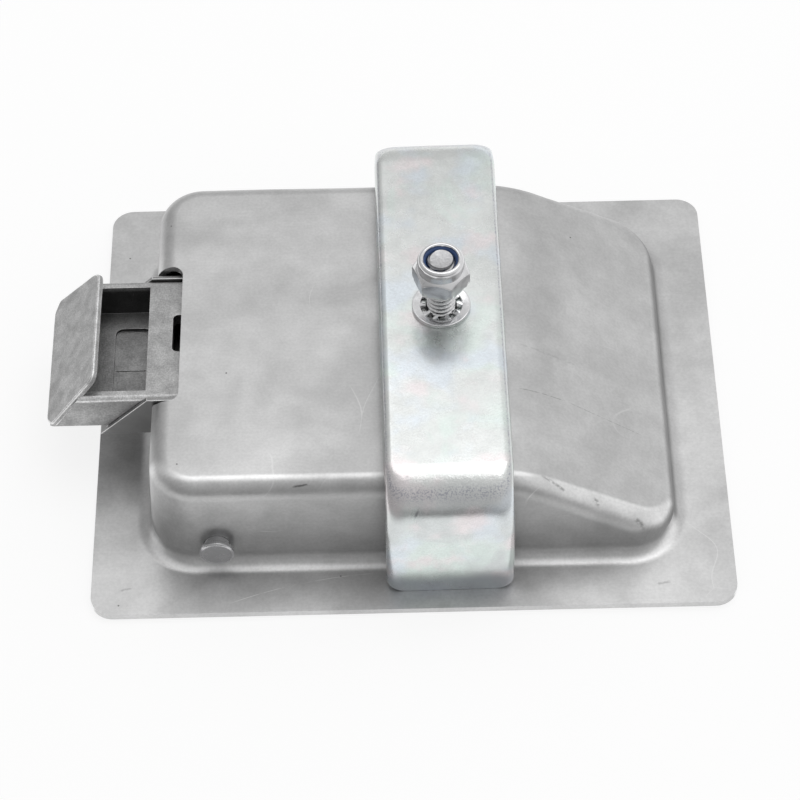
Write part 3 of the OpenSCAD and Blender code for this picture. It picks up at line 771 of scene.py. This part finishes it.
def tray_shell():
    """Drawn tray: flange, foot fillet, leaning walls, rolled bends and the sloped back, as one sheet."""
    turn_share = (SLOPE_X - DISH_X[0] - PLAN_R) / (DISH_X[1] - DISH_X[0] - 2 * PLAN_R)
    before, after = turn_share - 0.09, turn_share + 0.09
    long_steps = [*np.linspace(0, before, 26)[1:], *np.linspace(before, after, 17)[1:],
                  *np.linspace(after, 1, 10)[1:-1]]
    short_steps = list(np.linspace(0, 1, 24)[1:-1])
    lo, hi = (DISH_X[0], -DISH_HALF_Y), (DISH_X[1], DISH_HALF_Y)
    wall, normal = plan_loop(lo, hi, PLAN_R, long_steps, short_steps)
    edge, _ = plan_loop(-FLANGE_HALF, FLANGE_HALF, FLANGE_R, long_steps, short_steps)

    taper = np.clip((wall[:, 0] - SLOPE_X) / (DISH_X[1] - PLAN_R - SLOPE_X), 0, 1)
    draft = DRAFT[0] + (DRAFT[1] - DRAFT[0]) * taper
    bend = BEND_R[0] + (BEND_R[1] - BEND_R[0]) * taper
    top = wall - normal * draft[:, None]

    centre_z, roof_normal = [], []
    for p, n, r in zip(top, normal, bend):
        height, slope = roof(p[0])
        centre_z.append(height - n[0] * slope * r - r * hypot(1, slope))
        roof_normal.append(np.array([-slope, 0, 1]) / hypot(1, slope))
    centre_z, roof_normal = np.array(centre_z), np.array(roof_normal)
    outward = np.c_[normal, np.zeros(len(normal))]
    centre = np.c_[top - normal * bend[:, None], centre_z]

    foot_z = SHEET + FOOT_R
    foot = wall - normal * (draft * FOOT_R / (centre_z - SHEET))[:, None]
    fillet_end = foot + normal * FOOT_R
    rings = []
    for t in (0.0, 0.3, 0.6, 0.85):
        rings.append(np.c_[edge + (fillet_end - edge) * t, np.full(len(edge), SHEET)])
    for k in range(10):
        a = pi / 2 * k / 9
        height = np.full(len(foot), SHEET + FOOT_R * (1 - cos(a)))
        rings.append(np.c_[foot + normal * FOOT_R * (1 - sin(a)), height])
    for t in (0.2, 0.4, 0.6, 0.8):
        rings.append(np.c_[foot + (top - foot) * t, foot_z + (centre_z - foot_z) * t])
    for k in range(15):
        t = k / 14
        cosine = np.clip(np.sum(outward * roof_normal, axis=1), -1, 1)
        angle = np.arccos(cosine)
        mixed = (np.sin((1 - t) * angle)[:, None] * outward + np.sin(t * angle)[:, None] * roof_normal)
        rings.append(centre + bend[:, None] * mixed / np.sin(angle)[:, None])
    contact = rings[-1]
    spine_x = np.clip(contact[:, 0], DISH_X[0] + 20, DISH_X[1] - 16)
    for t in (0.06, 0.15, 0.27, 0.42, 0.58, 0.75, 0.9, 1.0):
        x = contact[:, 0] + (spine_x - contact[:, 0]) * t
        y = contact[:, 1] * (1 - t)
        rings.append(np.c_[x, y, [roof(v)[0] for v in x]])

    verts, faces = skin(rings)
    bm = merged(verts, faces)
    for v in bm.verts:
        if v.co.z > SHEET + 0.5:
            v.co += v.normal * TRAY_WAVE[0] * vnoise.noise(v.co * TRAY_WAVE[1])
    top_face = max(bm.faces, key=lambda f: f.calc_center_median().z)
    if top_face.normal.z < 0:
        bmesh.ops.reverse_faces(bm, faces=bm.faces)
    obj = mesh_object("tray_shell", bm)
    thick = obj.modifiers.new("sheet", "SOLIDIFY")
    thick.thickness = SHEET
    thick.offset = -1
    thick.use_even_offset = True
    applied(obj)
    carve(obj, window_cutter(), rod_cutter("y", PIN_R + 0.05, (PIN_X, 0, PIN_Z), 60),
          rod_cutter("z", STUD_R + 0.2, (STUD_X, 0, BACK_Z), 5))
    return finish_piece(obj, SHEET_STEEL, "housing", "stainless_sheet", "tray", sharp=50)


def window_cutter():
    """Prism that cuts the bolt's window; its near edge flares out towards the back of the tray."""
    right, corner, far, left = -50.2, 2.5, 18.9, -75.0
    rings = []
    for z in (12.6, 17.0, 20.0, 22.0, 23.5, 25.0, 26.5, 28.0, 29.0, 40.0):
        t = min(max((z - 22.0) / 4.0, 0), 1)
        near = -18.5 - 1.3 * t * t * (3 - 2 * t)
        ring = [(left, near, z), (left, far, z)]
        for y, sign in ((far, 1), (near, -1)):
            for k in range(7):
                a = radians(90 - 15 * k) if sign > 0 else radians(-15 * k)
                x = right - corner + corner * cos(a)
                ring.append((x, y - sign * corner + corner * sin(a), z))
        rings.append(ring)
    return mesh_object("cutter", merged(*skin(rings, capped=True)))


def rod_cutter(axis, radius, centre, reach):
    profile = [(0, -reach), (radius, -reach), (radius, reach), (0, reach)]
    return mesh_object("cutter", merged(*lathe(profile, 48, axis, centre)))


# -------- clamp strap
def strap_outline(half, corner):
    """Section of the strap as (across, depth) points: a flat web with a lip down each long edge."""
    t, lip, inner = STRAP_T, STRAP_LIP, 0.4
    deep = STRAP_CORNER
    right = []
    for k in range(9):
        a = pi / 2 * k / 8
        right.append((half - corner + corner * cos(a), deep - deep * sin(a)))
    inside = [(half - t, lip), (half - t, t + inner), (half - t - 0.12, t + 0.12), (half - t - inner, t)]
    flat = half - corner
    web = [flat - 0.5, *np.linspace(flat - 1.5, 1.5 - flat, 11), 0.5 - flat]
    left = [(-u, d) for u, d in reversed(right)]
    outer = [(half, lip), *right, *[(u, 0) for u in web], *left, (-half, lip)]
    inner_side = [*[(-u, d) for u, d in inside], *reversed(inside)]
    return outer + inner_side


def strap():
    """Folded strap: foot, leg, bend, web, bend, leg, foot. The corners pinch in at both bends."""
    near, far = STRAP_Y
    foot_z = SHEET + 0.05
    r = STRAP_BEND
    round_foot = STRAP_FOOT_R
    stations = []
    leg = STRAP_TOP - r - foot_z
    for d in (0, 0.12, 0.35, 0.7, 1.2, 2.0, 4.0, 7.0, 10.0, 13.0, 16.0, leg - 1.5):
        stations.append((near, foot_z + d, -1.0, 0.0, d))
    for k in range(21):
        a = pi / 2 * k / 20
        y, z = near + r - r * cos(a), STRAP_TOP - r + r * sin(a)
        stations.append((y, z, -cos(a), sin(a), leg))
    far_side = [(far + near - y, z, -ny, nz, d) for y, z, ny, nz, d in reversed(stations)]
    for y in np.linspace(near + r, far - r, 14)[1:-1]:
        stations.append((y, STRAP_TOP, 0.0, 1.0, leg))
    stations += far_side
    rings = []
    for y, z, ny, nz, d in stations:
        trim = round_foot - sqrt(round_foot**2 - (round_foot - d) ** 2) if d < round_foot else 0.0
        bend_share = sin(pi * min(max(atan2(nz, abs(ny)) / (pi / 2), 0), 1))
        corner = STRAP_CORNER + STRAP_PINCH * bend_share
        half = STRAP_HALF - trim - 0.25 * bend_share
        rings.append([(u, y - ny * depth, z - nz * depth) for u, depth in strap_outline(half, corner)])
    bm = merged(*skin(rings, capped=True))
    for v in bm.verts:
        v.co += v.normal * STRAP_WAVE[0] * vnoise.noise(v.co * STRAP_WAVE[1] + Vector((5, 0, 0)))
    obj = mesh_object("clamp_strap", bm)
    carve(obj, rod_cutter("z", STUD_R + 0.4, (0, 0, STRAP_TOP), 4))
    obj.data.transform(Matrix.Translation((STUD_X, 0, 0)) @ Matrix.Rotation(STRAP_TURN, 4, "Z"))
    return finish_piece(obj, ZINC, "clamp", "zinc_plate", "clamp_bracket", sharp=55)


# -------- stud, washer and nut
def thread_radius(share, outer, depth):
    """Radius of a thread at a share of its pitch, with flats at the crest and the root."""
    share %= 1.0
    rise = min(share, 1 - share)
    t = min(max((rise - 0.09) / (0.43 - 0.09), 0), 1)
    return outer - depth * t


def stud():
    """Weld stud with a helical thread, a chamfered end and a flat head under the tray's back."""
    sides, depth = 60, 0.62 * PITCH
    low, high = STRAP_TOP - 1.0, STUD_HI[2]
    rings = []
    for radius, z in ((0, STUD_LO[2]), (5.8, STUD_LO[2]), (6.0, STUD_LO[2] + 0.2), (6.0, BACK_Z - SHEET),
                      (STUD_R, BACK_Z - SHEET), (STUD_R, low - 0.2)):
        rings.append(circle(radius, z, sides))
    rows = int((high - low) / PITCH * 14)
    for i in range(rows + 1):
        z = low + (high - low) * i / rows
        ring = []
        for k in range(sides):
            a = tau * k / sides
            radius = thread_radius(z / PITCH - k / sides, STUD_R, depth * min(1, (z - low) / PITCH))
            radius = min(radius, 2.62 + (high - z) * 0.75)
            ring.append((radius * cos(a), radius * sin(a), z))
        rings.append(ring)
    rings.append(circle(2.4, high - 0.04, sides))
    rings.append([(0, 0, high - 0.08)] * sides)
    verts, faces = skin(rings)
    obj = mesh_object("stud_thread", merged(verts, faces))
    obj.data.transform(Matrix.Translation((STUD_X, 0, 0)))
    return finish_piece(obj, THREAD, "housing", "bright_steel", "stud", sharp=50)


def washer():
    """Internal-tooth lock washer: a rounded ring with a row of twisted teeth inside it."""
    lo, hi = box_mm("lock_washer")
    outer = (hi[0] - lo[0]) / 2
    base, thick, ring_r, teeth = lo[2], 0.9, outer - 1.9, 10
    rim, top = ring_r + 0.7, base + thick
    profile = [(rim, base), (outer, base), (outer, top), (ring_r, top - 0.12), (ring_r, base), (rim, base)]
    verts, faces = lathe(round_profile(profile, 0.28), 96)
    inner = STUD_R + 0.28
    for tooth in range(teeth):
        a = tau * tooth / teeth
        rings = []
        for k in range(7):
            t = k / 6
            radius = ring_r + 0.35 - (ring_r + 0.35 - inner) * t
            turn = radians(36) * t
            half_w = 0.66 - 0.1 * t
            half_t = 0.3
            outline = round_profile([(0, half_t), (half_w, half_t), (half_w, -half_t), (-half_w, -half_t),
                                     (-half_w, half_t), (0, half_t)], 0.12, 2)[:-1]
            ring = []
            for u, w in outline:
                across = u * cos(turn) - w * sin(turn)
                up = u * sin(turn) + w * cos(turn)
                x = radius * cos(a) - across * sin(a)
                y = radius * sin(a) + across * cos(a)
                ring.append((x, y, base + thick / 2 + 0.16 * t + up))
            rings.append(ring)
        more, quads = skin(rings, capped=True)
        shift = len(verts)
        verts += more
        faces += [tuple(i + shift for i in quad) for quad in quads]
    obj = mesh_object("toothed_washer", merged(verts, faces))
    obj.data.transform(Matrix.Translation((STUD_X, 0, 0)))
    return finish_piece(obj, BRIGHT, "clamp", "bright_steel", "lock_washer", sharp=50)


def nut():
    """Hexagon with chamfered corners, a smooth crown rolled in over the insert, and a plain bore."""
    lo, hi = box_mm("nut_shell")
    base, top = lo[2], hi[2]
    flat, turn = 5.55, radians(-10.5)
    corner = flat / cos(pi / 6)
    hex_top = base + (top - base) * 0.62
    sides = 180
    outer = [(5.2, base), (5.5, base + 0.06), (5.95, base + 0.38), (corner, base + 0.75)]
    outer += [(corner, base + s) for s in (1.5, 2.2, 2.9)]
    for k in range(11):
        t = k / 10
        outer.append((corner - 0.05 - (corner - 5.22) * t, hex_top - 1.25 * (1 - t) ** 1.15))
    outer += [(5.17, hex_top + 0.12), (5.15, hex_top + 0.5), (5.15, hex_top + 1.2)]
    for k in range(1, 8):
        a = pi / 2 * k / 7
        outer.append((4.25 + 0.9 * cos(a), top - 1.3 + 1.3 * sin(a)))
    inner = [(4.0, top - 0.04), (3.82, top - 0.2), (3.8, top - 0.5), (3.8, top - 0.72), (4.33, top - 0.75),
             (4.33, top - 3.0), (3.27, top - 3.05), (3.27, base + 0.5), (3.7, base)]
    rings = []
    for radius, z in outer + inner:
        ring = []
        for k in range(sides):
            a = tau * k / sides
            off = (a + pi / 6) % (pi / 3) - pi / 6
            hexagon = flat / cos(off - copysign(pi / 6, off)) if off else corner
            hexagon = min(hexagon, corner * 0.992)
            use = min(radius, hexagon) if z < hex_top + 0.01 and radius > 5.1 else radius
            ring.append((use * cos(a + turn), use * sin(a + turn), z))
        rings.append(ring)
    rings.append(rings[0])
    obj = mesh_object("nut_body", merged(*skin(rings)))
    obj.data.transform(Matrix.Translation((STUD_X, 0, 0)))
    return finish_piece(obj, BRIGHT, "nut", "bright_steel", "nut_shell", sharp=30)


def nylon_ring():
    lo, hi = box_mm("nylon_insert")
    outer, inner = (hi[0] - lo[0]) / 2, STUD_R + 0.06
    base, top, lip = lo[2], hi[2], 0.35
    profile = [(inner, base), (outer, base), (outer, top)]
    profile = round_profile([*profile, (inner + lip, top), (inner, top - lip), (inner, base)], 0.25)
    obj = mesh_object("nylon_ring", merged(*lathe(profile, 72, "z", (STUD_X, 0, 0))))
    return finish_piece(obj, BLUE_NYLON, "nut_carrier", "blue_nylon", "nylon_insert")


# -------- pivot pin and its fittings
def pin():
    lo, hi = PIN_LO[1], PIN_HI[1]
    head = (PIN_HI[0] - PIN_LO[0]) / 2
    groove, near, far = PIN_R - 0.6, 46.25, 47.15
    profile = [(0, lo + 0.12), (head - 0.75, lo + 0.12), (head - 0.45, lo), (head, lo + 0.3),
               (head, lo + 1.25), (PIN_R, lo + 1.3), (PIN_R, near), (groove, near), (groove, far),
               (PIN_R, far), (PIN_R, hi - 0.5), (PIN_R - 0.5, hi), (0, hi)]
    profile = round_profile(profile, 0.16, 3)
    obj = mesh_object("hinge_pin", merged(*lathe(profile, 72, "y", (PIN_X, 0, PIN_Z))))
    return finish_piece(obj, PIN_STEEL, "housing", "pin_steel", "pivot_pin", sharp=45)


def spacer(node):
    lo, hi = box_mm(node)
    outer, inner = (hi[0] - lo[0]) / 2, PIN_R + 0.06
    low, high, rim = lo[1], hi[1], inner + 0.5
    profile = [(rim, low), (outer, low), (outer, high), (inner, high), (inner, low), (rim, low)]
    profile = round_profile(profile, 0.3)
    obj = mesh_object(node + "_ring", merged(*lathe(profile, 64, "y", (PIN_X, 0, PIN_Z))))
    return finish_piece(obj, WHITE_NYLON, "housing", "white_nylon", node)


def torsion_spring():
    """Closed coils round the pin, one leg on the paddle and one under the tray's back."""
    wire, coil_r, turns, y0, pitch = 1.1, 4.4, 7, -37.0, 1.25
    start, steps = 250.0, 28 * 7
    sweep = 360 * turns + 138
    path = []
    for i in range(steps + 1):
        u = i / steps
        a = radians(start + sweep * u)
        path.append((PIN_X + coil_r * cos(a), y0 + pitch * turns * u, PIN_Z + coil_r * sin(a)))
    paddle_in = box_mm("paddle")[0][2] + 1.6
    first = (PIN_X - 8.5, y0 - 0.1, paddle_in + wire / 2 + 0.1)
    last = (PIN_X - 5, y0 + pitch * turns + 0.1, BACK_Z - SHEET - 1.2)
    obj = mesh_object("torsion_spring", merged(*tube([first, *path, last], wire / 2, (0, 1, 0), 12)))
    finish_piece(obj, SPRING_STEEL, None, "spring_steel", "paddle_spring", sharp=60)
    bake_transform(obj)
    return obj


def bolt_spring(node):
    """Compression spring with closed ends between the bolt's tail and the rear bracket."""
    lo, hi = box_mm(node)
    y, z = (lo[1] + hi[1]) / 2, (lo[2] + hi[2]) / 2
    wire = 0.9
    coil_r = (hi[1] - lo[1]) / 2 - wire / 2
    turns = 11
    path = []
    for i in range(turns * 24 + 1):
        u = i / (turns * 24)
        n = u * turns
        lead = 1.0
        body = (hi[0] - lo[0] - wire) - 2 * lead * wire
        open_share = min(max((n - 1) / (turns - 2), 0), 1)
        rise = lead * wire * min(n, 1) + body * open_share + lead * wire * max(n - turns + 1, 0)
        a = tau * n
        path.append((lo[0] + wire / 2 + rise, y + coil_r * cos(a), z + coil_r * sin(a)))
    name = node.replace("bolt_spring", "throw_spring")
    obj = mesh_object(name, merged(*tube(path, wire / 2, (1, 0, 0), 10)))
    finish_piece(obj, SPRING_STEEL, "housing", "spring_steel", node, sharp=60)
    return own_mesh(obj)


# -------- bolt
def bolt_body():
    """Cast bar with a hollow nose, a slot for the pull finger and a cavity under its back."""
    inner = RAMP_T / sin(RAMP_LEAN)
    inside = BOLT_HALF - BOLT_WALL

    def ramp_x(z):
        return RAMP_LOW[0] + (z - RAMP_LOW[1]) / tan(RAMP_LEAN) + inner

    side = [(BOLT_TAIL, BOLT_TOP), (ramp_x(BOLT_TOP) - inner / 2, BOLT_TOP),
            (RAMP_LOW[0] + inner / 2, RAMP_LOW[1]), (RAMP_LOW[0] + 1.6, BOLT_LOW), (BOLT_TAIL, BOLT_LOW)]
    bar = prism(side, "y", -BOLT_HALF, BOLT_HALF)
    bm = bmesh.new()
    bm.from_mesh(bar.data)
    long_edges = [e for e in bm.edges if all(abs(v.co.z - BOLT_TOP) < 0.01 for v in e.verts)
                  and abs(e.verts[0].co.y - e.verts[1].co.y) < 0.01]
    bmesh.ops.bevel(bm, geom=long_edges, offset=1.2, segments=5, profile=0.5, affect="EDGES")
    bm.to_mesh(bar.data)
    bm.free()

    top, low = BOLT_TOP + 1, NOSE_FLOOR
    hollow = []
    for z in (low, top):
        half = inside - 0.7 * (top - z) / (top - low)
        hollow.append([(x, y, z) for x, y in rectangle((ramp_x(z), NOSE_X), (-half, half))])
    hollow = mesh_object("hollow", merged(*skin(hollow, capped=True)))
    recess = rectangle((RECESS[0], NOSE_X), (-inside - 2, RECESS[1]))
    recess = [(x, max(y, 1.0 - inside)) for x, y in rounded(recess, 1.9)]
    joint = block((RECESS[0] + 0.3, -2.3, RECESS_Z - 0.25), (NOSE_X, -2.0, RECESS_Z + 0.3))
    cavity = block((NOSE_X + 1.6, -inside, BOLT_LOW - 1), (BOLT_TAIL - BOLT_WALL, inside, BOLT_TOP - BAR_T))
    recess = prism(recess, "z", RECESS_Z, low + 1)
    slot = prism(rounded(rectangle(SLOT_X, SLOT_Y), 1.3), "z", BOLT_LOW - 1, BOLT_TOP + 1)
    carve(bar, hollow, recess, joint, cavity, slot,
          *[rod_cutter("x", 1.8, (BOLT_TAIL, y, ROD_Z), 4) for y in (-ROD_Y, ROD_Y)])
    return bevelled(bar, 0.22, 30, 2)


def ramp_plate():
    """Sloping plate on the nose, a little proud of the bar, with its corners cut off and rounded."""
    rise = dist(RAMP_LOW, RAMP_EDGE)
    foot, top, foot_cut, top_cut = BOLT_HALF + 1, BOLT_HALF - 1.4, 2.6, 1.4
    half = [(foot - foot_cut, 0), (foot, foot_cut * 0.8), (top + 0.2, rise - top_cut * 1.4),
            (top - top_cut * 0.4, rise - top_cut * 0.4), (top - top_cut * 1.4, rise)]
    outline = rounded([*half, *[(-u, v) for u, v in reversed(half)]], 0.9, 4)
    plate = prism([(v, -u) for u, v in outline], "z", -RAMP_T, 0)
    lean = Matrix.Rotation(-RAMP_LEAN, 4, "Y")
    plate.data.transform(Matrix.Translation((RAMP_LOW[0], 0, RAMP_LOW[1])) @ lean)
    return bevelled(plate, 0.42, 40, 3)


def bolt():
    obj = joined("ramped_bolt", bolt_body(), ramp_plate())
    obj.data.materials.append(None)
    obj.data.materials.append(None)
    for face in obj.data.polygons:
        leans = 0.1 < face.normal.z < 0.97 and face.normal.y < -0.2
        if leans and face.center.x > NOSE_X - 1 and face.center.z > BOLT_TOP - 1.3:
            face.material_index = 1
    return finish_piece(obj, CAST, "bolt", "cast_steel", "latch_bolt", sharp=40, edge_wear_and_sheen=CAST_WORN)


# -------- pieces kept in the CAD's shape, with rounded edges
def softened(node, material, body, slot, width, segments=2, edge_wear_and_sheen=None):
    """A copy of a CAD node's mesh with its edges rounded."""
    bm = bmesh.new()
    bm.from_mesh(frame["nodes"][node].data)
    bmesh.ops.scale(bm, vec=(1 / MM,) * 3, verts=bm.verts)
    bmesh.ops.remove_doubles(bm, verts=bm.verts, dist=1e-3)
    bmesh.ops.dissolve_limit(bm, angle_limit=radians(1), verts=bm.verts, edges=bm.edges)
    bmesh.ops.recalc_face_normals(bm, faces=bm.faces)
    obj = bevelled(mesh_object(node + "_part", bm), width, segments=segments)
    return finish_piece(obj, material, body, slot, node, edge_wear_and_sheen=edge_wear_and_sheen)


tray_shell()
strap()
stud()
washer()
nut()
nylon_ring()
pin()
torsion_spring()
for side in ("near", "far"):
    spacer("spacer_" + side)
    bolt_spring("bolt_spring_" + side)
    softened("spring_rod_" + side, PIN_STEEL, "housing", "pin_steel", 0.12)
bolt()
softened("bolt_guide", SHADED_GUIDE_STEEL, "housing", "pressed_steel", 0.14, edge_wear_and_sheen=PRESSED_CUT_HIGHLIGHT)
softened("rear_bracket", PRESSED, "housing", "pressed_steel", 0.25)
softened("pin_clip", SPRING_STEEL, "housing", "spring_steel", 0.12)
softened("stop_pads", RUBBER, "housing", "black_rubber", 0.4, 3)
softened("paddle", PADDLE_STEEL, "handle", "stainless_sheet", 0.5, 3)
softened("pull_finger", PRESSED, "handle", "pressed_steel", 0.2)
softened("finger_rivets", RIVET_STEEL, "handle", "rivet_steel", 0.12)


# -------- floor, light and camera
def floor():
    sides, low = (-12.0, 12.0), -0.0004
    corners = [(x, y, low) for x, y in rectangle(sides, sides)]
    obj = mesh_object("floor", merged(corners, [(0, 1, 2, 3)]))
    s = Shader("floor_white", (0.25, 0.25, 0.25), 0.0, 0.9)
    material = s.done(Specular_IOR_Level=0.0)
    x, y = (s.maths("ABSOLUTE", s.parts(s.mm)[axis]) for axis in "XY")
    past_x = s.maths("SUBTRACT", x, FLANGE_HALF[0] - 3)
    past_y = s.maths("SUBTRACT", y, FLANGE_HALF[1] - 3)
    inside = s.maths("MAXIMUM", past_x, past_y)
    # painted shade under the latch: the floor glows white only outside the flange and stays dark grey
    # beneath it
    s.link(s.bsdf.inputs["Emission Color"], s.rgb((1, 1, 1)))
    s.link(s.bsdf.inputs["Emission Strength"], s.ramp(inside, -2.0, 0.0, 0.0, 0.8))
    obj.data.materials.append(material)


# Brightness of the light tent: along a direction, from, to, and the level at each
TENT = (
    ((0, 0, 1), 0.0, 1.0, 0.70, 0.78),
    ((0, 1, 0), -0.55, 0.1, 0.82, 1.0),
    ((1, 0, 0), -0.8, 0.5, 0.60, 1.08),
    ((0, 0.55, 1), -0.45, -0.12, 0.35, 1.0),
)


def world():
    """A light tent: even overhead and behind, dimmer in front and to the left, dark low in front."""
    made = bpy.data.worlds.new("tent")
    SCENE.world = made
    made.use_nodes = True
    s = Nodes(made.node_tree)
    way = s.add("TexCoord", {}).outputs["Generated"]
    level = 1.0
    for direction, low, high, at_low, at_high in TENT:
        share = s.vector("DOT_PRODUCT", way, direction, "Value")
        level = s.times(level, s.ramp(share, low, high, at_low, at_high, "LINEAR"))
    s.link(s.tree.nodes["Background"].inputs["Color"], s.grey(level))


def softbox(name, place, aim, size, power):
    light = bpy.data.lights.new(name, "AREA")
    light.shape = "RECTANGLE"
    light.size, light.size_y = size
    light.energy = power
    obj = linked(name, light)
    obj.location = place
    obj.rotation_mode = "QUATERNION"
    obj.rotation_quaternion = (Vector(aim) - Vector(place)).to_track_quat("-Z", "Y")


# The photograph's view: elevation, roll and yaw in degrees, aim and distance in metres, lens in millimetres
VIEW_ANGLES = (51.15, -1.448, 0.184)
VIEW_AIM = (-0.00214, 0.0001, 0)
VIEW_DISTANCE = 0.6655
VIEW_LENS = 131.39


def camera():
    """Looks from the near side, about 51 degrees above the table."""
    elevation, roll, yaw = (radians(a) for a in VIEW_ANGLES)
    level = cos(elevation)
    back = Vector((sin(yaw) * level, -cos(yaw) * level, sin(elevation)))
    place = Vector(VIEW_AIM) + back * VIEW_DISTANCE
    right = (-back).cross(Vector((0, 0, 1))).normalized()
    up = right.cross(-back)
    r = right * cos(roll) + up * sin(roll)
    u = up * cos(roll) - right * sin(roll)
    data = bpy.data.cameras.new("view")
    data.sensor_width = 36
    data.lens = VIEW_LENS
    data.clip_start = 0.01
    obj = linked("view", data)
    turn = Matrix((r, u, back)).transposed().to_4x4()
    obj.matrix_world = Matrix.Translation(place) @ turn
    SCENE.camera = obj


floor()
world()
softbox("overhead", (0.12, 0.27, 0.95), (0, 0, 0), (0.9, 0.62), 1.5)
camera()
SCENE.view_settings.view_transform = "Standard"
